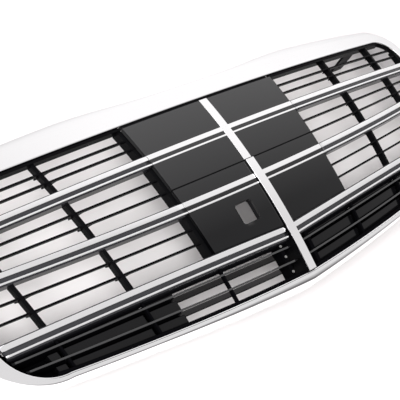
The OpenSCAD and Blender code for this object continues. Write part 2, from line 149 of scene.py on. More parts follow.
def crowned(top, bottom, front, back):
    """Section of a plated strip: a slightly crowned face with rolled edges."""
    roll = 0.55
    roll_in = 0.15
    roll_back = 0.2
    crown = 0.04
    middle = (top + bottom) / 2
    return [(top, back), (top, front - roll), (top - roll_in, front - roll_back),
            (top - roll, front - crown), (middle, front), (bottom + roll, front - crown),
            (bottom + roll_in, front - roll_back), (bottom, front - roll), (bottom, back)]


def slice_up(part, axis, step):
    """Cuts a straight part across one axis so that it can bend."""
    at = [v.co[axis] for v in part.verts]
    low, high = min(at), max(at)
    cuts = int((high - low) / step)
    for i in range(1, cuts + 1):
        where = Vector((0, 0, 0))
        where[axis] = low + (high - low) * i / (cuts + 1)
        normal = Vector((0, 0, 0))
        normal[axis] = 1
        geom = part.verts[:] + part.edges[:] + part.faces[:]
        bmesh.ops.bisect_plane(part, geom=geom, plane_co=where, plane_no=normal)


def draw_out(part, faces, reach):
    """Extrudes faces and moves the new ones by the reach."""
    made = bmesh.ops.extrude_face_region(part, geom=faces)["geom"]
    moved = [g for g in made if isinstance(g, bmesh.types.BMVert)]
    bmesh.ops.translate(part, verts=moved, vec=reach)


def join_part(bm, part):
    """Adds a finished part to the piece that it belongs to."""
    mesh = bpy.data.meshes.new("part")
    part.to_mesh(mesh)
    part.free()
    bm.from_mesh(mesh)
    bpy.data.meshes.remove(mesh)


def lay(bm, part, line):
    """Lays a straight part on the skin along its line and adds it to the piece."""
    for v in part.verts:
        v.co = on_skin(v.co.x, line(v.co.x, v.co.y), v.co.z)
    bmesh.ops.recalc_face_normals(part, faces=part.faces)
    join_part(bm, part)


def add_profile(bm, x, section, line, radius=0.4, step=9, bead=None):
    """Section in y and w, drawn along x; faces in front of the bead line take the second material."""
    part = bmesh.new()
    face = part.faces.new([part.verts.new((x[0], y, w)) for y, w in section])
    draw_out(part, [face], (x[1] - x[0], 0, 0))
    if radius:
        along = [e for e in part.edges if abs(e.verts[0].co.x - e.verts[1].co.x) > 0.5]
        bmesh.ops.bevel(part, geom=along, affect="EDGES", offset=radius, segments=2, profile=0.5,
                        material=-1, clamp_overlap=True)
    slice_up(part, 0, step)
    if bead is not None:
        for face in part.faces:
            face.material_index = int(min(v.co.z for v in face.verts) > bead)
    lay(bm, part, line)


def finish(name, colour, roughness, metallic=0.0, specular=0.5, grain=400.0, relief=0.0, wear=0.06, ior=1.5):
    """Moulded or plated surface with slight unevenness at the given grain (cells per metre)."""
    material = bpy.data.materials.new(name)
    material.use_nodes = True
    nodes = material.node_tree.nodes
    links = material.node_tree.links
    shader = nodes["Principled BSDF"]
    shader.inputs["Metallic"].default_value = metallic
    shader.inputs["Specular IOR Level"].default_value = specular
    shader.inputs["IOR"].default_value = ior
    place = nodes.new("ShaderNodeTexCoord")
    fine = nodes.new("ShaderNodeTexNoise")
    fine.inputs["Scale"].default_value = grain
    fine.inputs["Detail"].default_value = 3
    broad = nodes.new("ShaderNodeTexNoise")
    broad.inputs["Scale"].default_value = 9
    broad.inputs["Detail"].default_value = 4
    links.new(place.outputs["Object"], fine.inputs["Vector"])
    links.new(place.outputs["Object"], broad.inputs["Vector"])
    tint = nodes.new("ShaderNodeMix")
    tint.data_type = "RGBA"
    tint.inputs["A"].default_value = (*[c * (1 - wear) for c in colour], 1)
    tint.inputs["B"].default_value = (*[min(1, c * (1 + wear)) for c in colour], 1)
    links.new(broad.outputs["Fac"], tint.inputs["Factor"])
    links.new(tint.outputs["Result"], shader.inputs["Base Color"])
    polish = nodes.new("ShaderNodeMapRange")
    polish.inputs["From Min"].default_value = 0.3
    polish.inputs["From Max"].default_value = 0.7
    polish.inputs["To Min"].default_value = roughness * 0.85
    polish.inputs["To Max"].default_value = roughness * 1.2
    links.new(broad.outputs["Fac"], polish.inputs["Value"])
    links.new(polish.outputs["Result"], shader.inputs["Roughness"])
    if relief:
        bump = nodes.new("ShaderNodeBump")
        bump.inputs["Strength"].default_value = relief
        bump.inputs["Distance"].default_value = 0.0002
        links.new(fine.outputs["Fac"], bump.inputs["Height"])
        links.new(bump.outputs["Normal"], shader.inputs["Normal"])
    return material


def show(name, bm, materials, replaced):
    """Turns a finished mesh into a piece of the grille."""
    mesh = bpy.data.meshes.new(name)
    bm.to_mesh(mesh)
    bm.free()
    for material in materials:
        mesh.materials.append(material)
    for polygon in mesh.polygons:
        polygon.use_smooth = True
    piece = bpy.data.objects.new(name, mesh)
    scene.collection.objects.link(piece)
    shading = piece.modifiers.new("shading", "WEIGHTED_NORMAL")
    shading.weight = 60
    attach(piece, "root")
    if replaced:
        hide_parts(*replaced)


chrome = finish("bright_chrome", (0.9, 0.9, 0.91), 0.06, metallic=1, grain=60, relief=0.02, wear=0.02)
louvre_black = finish("gloss_dark_grey", (0.02, 0.02, 0.023), 0.2, specular=0.42, grain=900, relief=0.05)
for side_name, side in sides.items():
    for k in range(3):
        near = low_spine_half + spine_clear if k == 2 else module_half + module_clear
        run = span(side, near, louvre_end)

        def along(x, y, k=k):
            return louvre_y(k, x) + y

        label = f"{k + 1}_{side_name}"
        bm = bmesh.new()
        add_profile(bm, run, channel, along, radius=0.3)
        show(f"louvre_{label}_channel", bm, [louvre_black], [f"louvre_{label}"])
        for width_name, (top, bottom) in strip_faces.items():
            bm = bmesh.new()
            add_profile(bm, run, crowned(top, bottom, 0, -strip_t), along, radius=0)
            show(f"louvre_{label}_{width_name}_strip", bm, [chrome],
                 [f"{width_name}_strip_{label}"])


# Upper lattice: one satin black moulding a side, with the top rail, the side rail, three slanted ribs
# and two thin bars a row. Webs stiffen each crossing. Ears behind fix it to the carrier, and an eye
# with a bolt hole fixes it to the car.
opening_top = (117.5, 0, 6e-5)
opening_bottom = (-151.5, 0.03, 1.8e-4)
upper_r = 40
lower_r = 52
rib_x = [123.75, 236, 344]
rib_w = 5
rib_d = (-6, -17)
rib_under = 6
rib_clear = 1.4
inner_rib_wider = 0.25
inner_rib_deeper = 4
rail_h = 4.5
rail_d = (-3, -14)
rail_clear = 0.3
flange_d = (-5.6, -8.6)
flange_out = 9
band_d = (-5.7, -8.5)
band_out = 8
band_in = -3
bar_h = 2.2
bar_d = (-5, -10.5)
bar_clear = 1.4
bar_bite = 1
bar_share = {0: (0.32, 0.62), 1: (0.31, 0.635), 2: (0.31, 0.635)}
web_t = 1.8
web_bite = 0.6
web_front = -7
web_back = rib_d[1] + 0.4
gusset_reach = 10
gusset_low = -10
tab_reach = 3.5
upper_corner = 24
corner_drop = 22
clip_x = (150, 215, 280, 345)
clip_half = 5
clip_h = (3.1, 5.8)
clip_d = (-3.5, -6.6)
ear_y = [92, 45, -25, -66]
ear_x = 112
ear_half = 5
ear_d = -22
ear_t = 3
ear_hole_r = 1.8
ear_leg_half = 4.2
ear_leg_d = (-10, -21)
bolt_x = 330
bolt_y = 124
bolt_z = 34
bolt_hole_r = 3.3
eye_half = 12
eye_t = 3.5
arm_over_bolt = 10
arm_under_skin = 9


def opening_top_y(x):
    return bowed(opening_top, x)


def opening_bottom_y(x):
    return bowed(opening_bottom, x)


def plain(x, y):
    return y


def row_y(r, share, x):
    """Height in row r, counted from the top, at a share of the way down to the next louvre."""
    top = opening_top_y(x) - rail_h if r == 0 else louvre_y(r - 1, x) - louvre_h
    bottom = opening_bottom_y(x) if r == 3 else louvre_y(r, x)
    return top + (bottom - top) * share


def soften(part, radius):
    """Rounds every edge of a moulded part."""
    if radius:
        bmesh.ops.bevel(part, geom=part.edges[:], affect="EDGES", offset=radius, segments=2, profile=0.5,
                        material=-1, clamp_overlap=True)


def add_box(bm, x, y, w, line, radius=0.4, step=9, both=False, coat=0):
    """Straight block between two values each of x, y and w, in one of the piece's materials."""
    part = bmesh.new()
    middle = Vector(((x[0] + x[1]) / 2, (y[0] + y[1]) / 2, (w[0] + w[1]) / 2))
    size = Vector((abs(x[1] - x[0]), abs(y[1] - y[0]), abs(w[1] - w[0])))
    bmesh.ops.create_cube(part, size=1, matrix=Matrix.Translation(middle) @ Matrix.Diagonal((*size, 1)))
    soften(part, radius)
    if size.x >= size.y or both:
        slice_up(part, 0, step)
    if size.y > size.x or both:
        slice_up(part, 1, step)
    for face in part.faces:
        face.material_index = coat
    lay(bm, part, line)


def add_web(bm, outline, line):
    """Flat web in x and w across a rib."""
    part = bmesh.new()
    face = part.faces.new([part.verts.new((x, -web_t / 2, w)) for x, w in outline])
    draw_out(part, [face], (0, web_t, 0))
    soften(part, 0.3)
    lay(bm, part, line)


def add_eye(bm, centre, half, hole_r, thickness, axis):
    """Rounded plate with a bolt hole, lying across the given axis; centre in millimetres."""
    part = bmesh.new()
    bmesh.ops.create_circle(part, radius=hole_r, segments=40)
    made = bmesh.ops.extrude_edge_only(part, edges=part.edges[:])["geom"]
    for v in [g for g in made if isinstance(g, bmesh.types.BMVert)]:
        angle = v.co.to_2d().angle_signed(Vector((1, 0)))
        reach = half / max(abs(cos(angle)), abs(sin(angle))) ** 0.8
        v.co = v.co.normalized() * reach
    draw_out(part, part.faces[:], (0, 0, thickness))
    bmesh.ops.recalc_face_normals(part, faces=part.faces)
    rims = [e for e in part.edges if len(e.link_faces) == 2 and e.calc_face_angle() > 1]
    bmesh.ops.bevel(part, geom=rims, affect="EDGES", offset=0.4, segments=2, profile=0.5, material=-1)
    turn = Matrix.Rotation(radians(-90), 4, "X") if axis == "Y" else Matrix.Identity(4)
    place = Matrix.Scale(0.001, 4) @ Matrix.Translation(centre) @ turn
    bmesh.ops.transform(part, verts=part.verts, matrix=place)
    join_part(bm, part)


def corner_run(side, low, grow):
    """Points round one rounded corner of the opening, moved outwards by grow."""
    r = lower_r if low else upper_r
    centre_x = opening_half - r
    centre_y = opening_bottom_y(centre_x) + r if low else opening_top_y(centre_x) - r
    reach = r + grow
    points = [(centre_x - 6, centre_y + (-reach if low else reach))]
    for i in range(19):
        turn = radians(5 * i)
        points.append((centre_x + reach * sin(turn), centre_y + reach * (-cos(turn) if low else cos(turn))))
    points.append((centre_x + reach, centre_y + (10 if low else -10)))
    return [(side * x, y) for x, y in points]


def add_band(bm, outer_run, inner_run, front, back):
    """Curved band between two runs of points, drawn by pushing its section along them."""
    part = bmesh.new()

    def section(i):
        (ox, oy), (ix, iy) = outer_run[i], inner_run[i]
        return [on_skin(ox, oy, front), on_skin(ix, iy, front), on_skin(ix, iy, back), on_skin(ox, oy, back)]

    face = part.faces.new([part.verts.new(p) for p in section(0)])
    loop = list(face.verts)
    for i in range(1, len(outer_run)):
        made = bmesh.ops.extrude_face_region(part, geom=[face])["geom"]
        if i > 1:
            bmesh.ops.delete(part, geom=[face], context="FACES_ONLY")
        face = [g for g in made if isinstance(g, bmesh.types.BMFace)][0]
        twins = {tuple(v.co): v for v in face.verts}
        loop = [twins[tuple(v.co)] for v in loop]
        for v, p in zip(loop, section(i)):
            v.co = p
    bmesh.ops.recalc_face_normals(part, faces=part.faces)
    join_part(bm, part)


def rail_line(x, y):
    return opening_top_y(x) + y


satin_black = finish("satin_black", (0.003, 0.003, 0.0035), 0.25, grain=1500, relief=0.08, wear=0.2, ior=1.1)
for side_name, side in sides.items():
    bm = bmesh.new()
    bar_run = span(side, module_half + bar_clear, opening_half - side_rail + bar_bite)
    for r, shares in bar_share.items():
        for share in shares:

            def along(x, y, r=r, share=share):
                return row_y(r, share, x) + y

            add_box(bm, bar_run, (-bar_h / 2, bar_h / 2), bar_d, along, radius=0.45)
            for x in rib_x[1:]:
                gusset_from = side * x + rib_w / 2
                add_web(bm, [(gusset_from - web_bite, web_front), (gusset_from + gusset_reach, gusset_low),
                             (gusset_from, web_back), (gusset_from - web_bite, web_back)], along)
                tab_from = side * x - rib_w / 2
                add_web(bm, [(tab_from + web_bite, web_front), (tab_from - tab_reach, web_front),
                             (tab_from - tab_reach, web_back), (tab_from + web_bite, web_back)], along)
    for i, x in enumerate(rib_x):
        half = rib_w / 2 + (inner_rib_wider if i == 0 else 0)
        depth = (rib_d[0], rib_d[1] - inner_rib_deeper) if i == 0 else rib_d
        heights = (louvre_y(2, x) - rib_under, opening_top_y(x) - rib_clear)
        add_box(bm, (side * x - half, side * x + half), heights, depth, plain, radius=0.7)
    rail_end = opening_half - upper_corner
    add_box(bm, span(side, module_half + 1, rail_end + 0.8), (-rail_h, -rail_clear), rail_d, rail_line,
            radius=0.5)
    add_box(bm, span(side, module_half + 1.6, rail_end), (-rail_h + 1, flange_out), flange_d, rail_line)
    side_top = opening_top_y(opening_half) - corner_drop
    side_low = louvre_y(2, opening_half) - rib_under
    add_box(bm, span(side, opening_half - side_rail - rail_clear, opening_half - rail_clear),
            (side_low, side_top - 2), rail_d, plain, radius=0.5)
    add_box(bm, span(side, opening_half - 3, opening_half + flange_out), (side_low + 2, side_top), flange_d,
            plain)
    add_band(bm, corner_run(side, False, band_out), corner_run(side, False, band_in), *band_d)
    for x in clip_x:
        add_box(bm, (side * x - clip_half, side * x + clip_half), clip_h, clip_d, rail_line, radius=0.3)
    add_eye(bm, (side * bolt_x, bolt_y - eye_t, bolt_z), eye_half, bolt_hole_r, eye_t, "Y")
    arm = bmesh.new()
    arm_low = bolt_z + arm_over_bolt
    arm_high = skin_z(bolt_x, bolt_y) - arm_under_skin
    arm_at = Matrix.Translation((side * bolt_x, bolt_y - eye_t / 2, (arm_low + arm_high) / 2))
    arm_size = Matrix.Diagonal((2 * eye_half, eye_t, arm_high - arm_low, 1))
    bmesh.ops.create_cube(arm, size=1, matrix=arm_at @ arm_size)
    soften(arm, 0.4)
    bmesh.ops.scale(arm, verts=arm.verts, vec=(0.001, 0.001, 0.001))
    join_part(bm, arm)
    for y in ear_y:
        add_box(bm, span(side, module_half + 1.1, module_half + 5.2), (y - ear_leg_half, y + ear_leg_half),
                ear_leg_d, plain)
        add_box(bm, span(side, ear_x + 4, module_half + 5), (y - ear_half, y + ear_half),
                (ear_d + ear_t, ear_d), plain)
        across = fan_x(ear_x, y)
        add_eye(bm, (side * across, y, skin_z(across, y, ear_d)), ear_half, ear_hole_r, ear_t, "Z")
    show(f"upper_lattice_{side_name}", bm, [satin_black],
         [f"{node}_{side_name}" for node in ("upper_rail", "side_rail", "ribs", "bars")])


# Lowest row: one black moulding a side. Two deep blades with rolled front and rear edges are tied by
# ribs and by a post beside the spine, on a rail that clips behind the lip. A closed back with blind
# pockets shuts the cells outside the air duct, and a round pin behind locates the grille.
blade = [(1.2, -4), (1.2, -6.4), (0.7, -7), (-1.1, -29.6), (-0.7, -30.4), (-0.7, -32),
         (-3.1, -32), (-3.1, -30.4), (-2.5, -29.6), (-0.9, -7), (-1.2, -6.4), (-1.2, -4)]
bead_line = -6.6
blade_share = (0.2, 0.58)
blade_ends = (opening_half - 6, opening_half - 13)
row_from = low_spine_half + 2.4
post_x = 25
post_half = 3
post_d = (-7, -26)
thin_rib_half = 1.5
thin_rib_d = (-5, -11)
roof_d = (-louvre_d, -17)
lip_clear = 0.3
lip_d = (-3, -24)
lip_clip_d = (-5.6, -20)
lip_clip_low = -5
lower_corner = 39
corner_d = (-5.7, -31)
corner_out = 5
corner_in = -4
duct_end = 190
back_from = {-1: duct_end, 1: low_spine_half + 3}
back_d = (-30.6, -33)
back_clear = (2, 1)
pocket_d = (-13, -31)
pocket_gap = 3
pocket_low = 2.2
pocket_high = 3.4
pocket_rows = ((0.02, blade_share[0]), blade_share, (blade_share[1], 0.94))
pin_x = 240
pin_y = -118
pin_r = 4
pin_collar = 2.5
pin_base_d = 32
pin_reach = (-20, -3)
collar_reach = (-4, 0.5)


def under_louvre(x):
    return louvre_y(2, x) - louvre_h - louvre_edge - 0.3


def third_line(x, y):
    return louvre_y(2, x) + y


def lip_line(x, y):
    return opening_bottom_y(x) + y


back_h = louvre_y(2, 0) - louvre_h - back_clear[1] - opening_bottom_y(0) - back_clear[0]


def back_line(x, y):
    share = y / back_h
    high = louvre_y(2, x) - louvre_h - back_clear[1] - back_h
    return (opening_bottom_y(x) + back_clear[0] + y) * (1 - share) + (high + y) * share


corner_x = opening_half - lower_r
corner_y = opening_bottom_y(corner_x) + lower_r


def corner_back(x, y):
    """Carries the closed back on into the rounded corner."""
    low = corner_y - sqrt(lower_r ** 2 - (abs(x) - corner_x) ** 2) + 1
    return low + (louvre_y(2, x) - louvre_h - back_clear[1] - low) * y / back_h


# Painted light and shade: three copies of the moulding's one gloss black. The blade bodies take a darker,
# barely reflecting copy as painted shade. The front beads take a lighter, more reflective one that paints
# highlight lines, and the pockets take one in between.
shaded_black = finish("shaded_black", (0.002, 0.002, 0.0025), 0.22, grain=1500, relief=0.08, wear=0.2, ior=1.04)
bead_highlight_black = finish("bead_highlight_black", (0.01, 0.01, 0.011), 0.1, grain=1500, relief=0.04, ior=1.85)
pocket_black = finish("pocket_black", (0.003, 0.003, 0.0035), 0.1, grain=900, relief=0.05, ior=1.32)
for side_name, side in sides.items():
    bm = bmesh.new()
    for share, blade_end in zip(blade_share, blade_ends):

        def along(x, y, share=share):
            return row_y(3, share, x) + y

        add_profile(bm, span(side, row_from, blade_end), blade, along, radius=0.3, bead=bead_line)
    for x in rib_x:
        add_box(bm, (side * x - thin_rib_half, side * x + thin_rib_half),
                (opening_bottom_y(x) + 1, under_louvre(x)), thin_rib_d, plain, radius=0.5)
    add_box(bm, (side * post_x - post_half, side * post_x + post_half),
            (opening_bottom_y(post_x) + 1, under_louvre(post_x)), post_d, plain, radius=0.6)
    add_box(bm, span(side, row_from, opening_half - side_rail), (-louvre_h - 4, -louvre_h / 2 - 0.3),
            roof_d, third_line)
    add_box(bm, span(side, row_from, opening_half - lower_corner - 1), (lip_clear, rail_h), lip_d, lip_line,
            radius=0.6)
    add_box(bm, span(side, low_spine_half + 3, opening_half - lower_corner - 2), (lip_clip_low, rail_h - 1),
            lip_clip_d, lip_line)
    add_box(bm, span(side, back_from[side], opening_half - lower_corner - 2), (0, back_h), back_d, back_line,
            both=True)
    cell_from = post_x + post_half if side > 0 else duct_end
    cell_edges = [cell_from, *[x for x in rib_x if x > cell_from], opening_half - lower_corner - 3]
    for x0, x1 in zip(cell_edges, cell_edges[1:]):
        for above, below in pocket_rows:
            pocket_h = row_y(3, above, x0) - row_y(3, below, x0) - pocket_low - pocket_high

            def pocket_line(x, y, above=above, below=below, pocket_h=pocket_h):
                low = row_y(3, below, x) + pocket_low
                return low + (row_y(3, above, x) - pocket_high - low) * y / pocket_h

            add_box(bm, span(side, x0 + pocket_gap, x1 - pocket_gap), (0, pocket_h), pocket_d, pocket_line,
                    radius=0.9, coat=2)
    add_box(bm, span(side, opening_half - lower_corner - 3, opening_half - 6), (0, back_h), back_d,
            corner_back, step=4, both=True)
    add_band(bm, corner_run(side, True, corner_out), corner_run(side, True, corner_in), *corner_d)
    pin_z = skin_z(pin_x, pin_y) - pin_base_d
    for r, reach in ((pin_r + pin_collar, collar_reach), (pin_r, pin_reach)):
        part = bmesh.new()
        z_low = pin_z + reach[0]
        z_high = pin_z + reach[1]
        stand = Matrix.Translation((side * pin_x, pin_y, (z_low + z_high) / 2))
        bmesh.ops.create_cone(part, cap_ends=True, segments=48, radius1=r, radius2=r, depth=z_high - z_low,
                              matrix=stand)
        rims = [e for e in part.edges if abs(e.verts[0].co.z - e.verts[1].co.z) < 0.01]
        bmesh.ops.bevel(part, geom=rims, affect="EDGES", offset=0.8, segments=3, profile=0.5, material=-1)
        bmesh.ops.scale(part, verts=part.verts, vec=(0.001, 0.001, 0.001))
        join_part(bm, part)
    show(f"lattice_lower_{side_name}_moulding", bm, [shaded_black, bead_highlight_black, pocket_black],
         [f"lattice_lower_{side_name}"])


# Surround: one hollow plated moulding. A flat face with a small crease near its outer edge rolls over
# into the wall that meets the bumper, and a short return inside hides the lattice's edge.
crease_top = 145.5
face_side = 18
face_lip = 6
roll_side = 10
roll_d = 12
wall_t = 2.8
wall_h = 28
under_face = 3.2
return_d = 5.2
top_dip = {"low": 5, "rise": 15, "half": 20, "run": 170}
ends_from = 385
ends_run = 45
lip_roll = 8
lip_roll_least = 3
lip_roll_fall = 0.02
# Distance from the edge and depth of each line of the small rounds at the opening and the crease
opening_round = ((0, return_d), (0, 1.4), (0.35, 0.5), (1.2, 0.06), (2, 0))
crease_round = ((1.2, 0), (0.3, 0.12))


def smooth(u):
    u = min(max(u, 0), 1)
    return u * u * (3 - 2 * u)


def ring_points(edge, top, bottom, top_r, bottom_r):
    """Right half of a ring round the opening, from top centre to bottom centre, mirrored to the left."""
    half = []
    top_x = edge - top_r
    low_x = edge - bottom_r
    half += [(top_x * i / 40, top(top_x * i / 40)) for i in range(41)]
    side_from = top(top_x) - top_r
    half += [(top_x + top_r * sin(pi * i / 28), side_from + top_r * cos(pi * i / 28)) for i in range(1, 15)]
    side_to = bottom(low_x) + bottom_r
    half += [(edge, side_from + (side_to - side_from) * i / 12) for i in range(1, 13)]
    half += [(low_x + bottom_r * cos(pi * i / 28), side_to - bottom_r * sin(pi * i / 28))
             for i in range(1, 15)]
    half += [(low_x * (1 - i / 40), bottom(low_x * (1 - i / 40))) for i in range(1, 41)]
    whole = half + [(-x, y) for x, y in half[-2:0:-1]]
    return [Vector((fan_x(x, y), y)) for x, y in whole]


def roll_top(x):
    """Upper outline of the surround, which dips slightly above the centre."""
    share = smooth((abs(x) - top_dip["half"]) / top_dip["run"])
    return crease_top + top_dip["low"] + top_dip["rise"] * share


def lip_edge(x):
    return opening_bottom_y(x) - face_lip


def roll_bottom(x):
    return lip_edge(x) - max(lip_roll_least, lip_roll - lip_roll_fall * abs(x))


def between(a, b, share):
    return [p.lerp(q, share) for p, q in zip(a, b)]


def toward(a, b, reach):
    return [p + (q - p).normalized() * reach for p, q in zip(a, b)]


def at_depth(points, depth):
    return [Vector((p.x, p.y, skin_z(p.x, p.y) - depth)) / 1000 for p in points]


def down_wall(points, share):
    """Part of the way from the roll's edge to the rear plane, which the wall meets at both ends."""
    made = []
    for p in points:
        start = skin_z(p.x, p.y) - roll_d
        rear = (skin_z(p.x, p.y) - wall_h) * (1 - smooth((abs(p.x) - ends_from) / ends_run))
        made.append(Vector((p.x, p.y, start + (rear - start) * share)) / 1000)
    return made


crease_x = opening_half + face_side
inner = ring_points(opening_half, opening_top_y, opening_bottom_y, upper_r, lower_r)
crease = ring_points(crease_x, lambda x: crease_top, lip_edge, upper_r + face_side, lower_r + face_side)
outer = ring_points(crease_x + roll_side, roll_top, roll_bottom, upper_r + face_side + roll_side,
                    lower_r + face_side + roll_side)
wall_inside = toward(outer, crease, wall_t)
rings = [at_depth(toward(inner, crease, reach), depth) for reach, depth in opening_round]
rings += [at_depth(between(inner, crease, share), 0) for share in (0.25, 0.5, 0.75)]
rings += [at_depth(toward(crease, inner, reach), depth) for reach, depth in crease_round]
for i in range(1, 9):
    turn = radians(90 * i / 8)
    rings.append(at_depth(between(crease, outer, sin(turn)), 0.4 + (roll_d - 0.4) * (1 - cos(turn))))
rings += [down_wall(outer, share) for share in (0.2, 0.4, 0.6, 0.8, 0.97)]
rings += [down_wall(toward(outer, crease, reach), 1) for reach in (0.5, wall_t - 0.5)]
rings += [down_wall(wall_inside, share) for share in (0.97, 0.6, 0.2, 0)]
rings += [at_depth(toward(crease, inner, 1), 3.4), at_depth(between(crease, inner, 0.5), under_face)]
rings += [at_depth(toward(inner, crease, wall_t), depth) for depth in (under_face, return_d)]

bm = bmesh.new()
ring = [bm.verts.new(p) for p in rings[0]]
for i, v in enumerate(ring):
    bm.edges.new((ring[i - 1], v))
for points in rings[1:] + [rings[0]]:
    edges = [bm.edges.get((ring[i - 1], ring[i])) for i in range(len(ring))]
    made = bmesh.ops.extrude_edge_only(bm, edges=edges)["geom"]
    twins = {tuple(g.co): g for g in made if isinstance(g, bmesh.types.BMVert)}
    ring = [twins[tuple(v.co)] for v in ring]
    for v, p in zip(ring, points):
        v.co = p
bmesh.ops.remove_doubles(bm, verts=bm.verts, dist=1e-7)
bmesh.ops.recalc_face_normals(bm, faces=bm.faces)
show("chrome_surround", bm, [chrome], ["chrome_frame"])


# Radar cover: the upper gloss black plate of the centre module, which lets the radar look through. It
# is moulded with two side walls and clips to the carrier. Its colour is painted a little greyer upwards,
# a painted reflection of the bright room that the gloss plate mirrors.
cover_front = 0.8
cover_back = 4
cover_clear = 4
wall_in = 2.2
wall_d = (-1.6, -14)
split_line = (10.7, 0, 1.1e-4)


def cover_top_y(x):
    return opening_top_y(x) - cover_clear


def split_y(x):
    return bowed(split_line, x)


def stretched(top, bottom):
    """Line function that fills the height between two curves."""
    height = top(0) - bottom(0)

    def stretch(x, y):
        share = y / height
        return (bottom(x) + y) * (1 - share) + (top(x) - height + y) * share

    return stretch, height


def add_face(bm, top, bottom):
    stretch, height = stretched(top, bottom)
    add_box(bm, (-module_half, module_half), (0, height), (-cover_front, -cover_back), stretch, radius=0.5,
            step=5, both=True)


def add_side_walls(bm, top, bottom):
    stretch, height = stretched(top, bottom)
    for side in (-1, 1):
        add_box(bm, span(side, module_half - wall_in, module_half), (0, height), wall_d, stretch)


def paint_reflection_up(material, low, high, colour):
    """Paints a reflection into the moulding's colour: it turns to a lighter one between two heights."""
    nodes = material.node_tree.nodes
    links = material.node_tree.links
    shader = nodes["Principled BSDF"]
    below = shader.inputs["Base Color"].links[0].from_socket
    place = nodes.new("ShaderNodeTexCoord")
    height = nodes.new("ShaderNodeSeparateXYZ")
    fade = nodes.new("ShaderNodeMapRange")
    fade.inputs["From Min"].default_value = low
    fade.inputs["From Max"].default_value = high
    painted_reflection = nodes.new("ShaderNodeMix")
    painted_reflection.data_type = "RGBA"
    painted_reflection.inputs["B"].default_value = (*colour, 1)
    links.new(place.outputs["Object"], height.inputs["Vector"])
    links.new(height.outputs["Y"], fade.inputs["Value"])
    links.new(fade.outputs["Result"], painted_reflection.inputs["Factor"])
    links.new(below, painted_reflection.inputs["A"])
    links.new(painted_reflection.outputs["Result"], shader.inputs["Base Color"])


piano_black = finish("piano_black", (0.002, 0.002, 0.0025), 0.05, specular=0.3, grain=35, relief=0.015)
# Painted reflection: the base colour of both gloss plates turns lighter grey upwards, in place of the room
# that they mirror.
paint_reflection_up(piano_black, -0.06, 0.115, (0.036, 0.036, 0.037))
bm = bmesh.new()
add_face(bm, cover_top_y, split_y)
add_side_walls(bm, cover_top_y, split_y)
show("radar_cover_plate", bm, [piano_black], ["radar_cover"])


# Camera panel: the lower gloss black plate, moulded and clipped like the cover above it. A square
# window with rounded corners is cut through its face before the side walls are added.
split_gap = 1.5
panel_clear = 0.6
window = 27
window_r = 4
window_at = (-45, -52)


def panel_top_y(x):
    return split_y(x) - split_gap


def panel_bottom_y(x):
    return louvre_y(2, x) + louvre_edge + panel_clear


bm = bmesh.new()
bmesh.ops.create_cube(bm, size=window)
corners = [e for e in bm.edges if abs(e.verts[0].co.z - e.verts[1].co.z) > 1]
bmesh.ops.bevel(bm, geom=corners, affect="EDGES", offset=window_r, segments=8, profile=0.5, material=-1)
bmesh.ops.translate(bm, verts=bm.verts, vec=(*window_at, nose_z))
bmesh.ops.scale(bm, verts=bm.verts, vec=(0.001, 0.001, 0.001))
bmesh.ops.recalc_face_normals(bm, faces=bm.faces)
mesh = bpy.data.meshes.new("window_cutter")
bm.to_mesh(mesh)
bm.free()
cutter = bpy.data.objects.new("window_cutter", mesh)
scene.collection.objects.link(cutter)
bm = bmesh.new()
add_face(bm, panel_top_y, panel_bottom_y)
mesh = bpy.data.meshes.new("blank")
bm.to_mesh(mesh)
bm.free()
blank = bpy.data.objects.new("blank", mesh)
scene.collection.objects.link(blank)
cut = blank.modifiers.new("window", "BOOLEAN")
cut.operation = "DIFFERENCE"
cut.solver = "EXACT"
cut.object = cutter
bpy.context.view_layer.update()
bm = bmesh.new()
bm.from_mesh(blank.evaluated_get(bpy.context.evaluated_depsgraph_get()).to_mesh())
add_side_walls(bm, panel_top_y, panel_bottom_y)
# The panel takes the cover's piano black, with the same painted reflection greying it upwards.
show("camera_panel_plate", bm, [piano_black], ["camera_panel"])
bpy.data.objects.remove(cutter)
bpy.data.objects.remove(blank)


# Strips of the centre module: plated plastic, glued flush on the two plates. The upright one divides
# the radar cover, and the first two louvre lines run up to the spine on both sides.
spine_half = 6
upper_length = 102.8
inlay_d = (0, -cover_front + 0.02)


def upper_spine(x, y):
    share = y / upper_length
    return split_y(x) * (1 - share) + (cover_top_y(x) - upper_length) * share + y


bm = bmesh.new()
add_box(bm, (-spine_half, spine_half), (0.1, upper_length - 0.1), inlay_d, upper_spine, radius=0.25)
show("cover_upright_strip", bm, [chrome], ["cover_spine_strip"])
for side_name, side in sides.items():
    for k, plate_name, near in ((0, "cover", spine_half + 0.1), (1, "panel", low_spine_half + 0.3)):

        def along(x, y, k=k):
            return louvre_y(k, x) + y

        for width_name, strip_face in strip_faces.items():
            bm = bmesh.new()
            add_box(bm, span(side, near, module_half), strip_face, inlay_d, along, radius=0.3)
            show(f"{plate_name}_{width_name}_trim_{side_name}", bm, [chrome],
                 [f"{plate_name}_{width_name}_strip_{side_name}"])


# Lower upright strip: a thicker plated bar that stands proud of the camera panel and runs over the
# third louvre to the lip. It clips to a black rail of its own.
low_length = panel_top_y(0) - opening_bottom_y(0) - 0.3
rail_top = louvre_y(2, 0) - opening_bottom_y(0)


def lower_spine(x, y):
    share = y / low_length
    return (opening_bottom_y(x) + 0.3) * (1 - share) + (panel_top_y(x) - low_length) * share + y


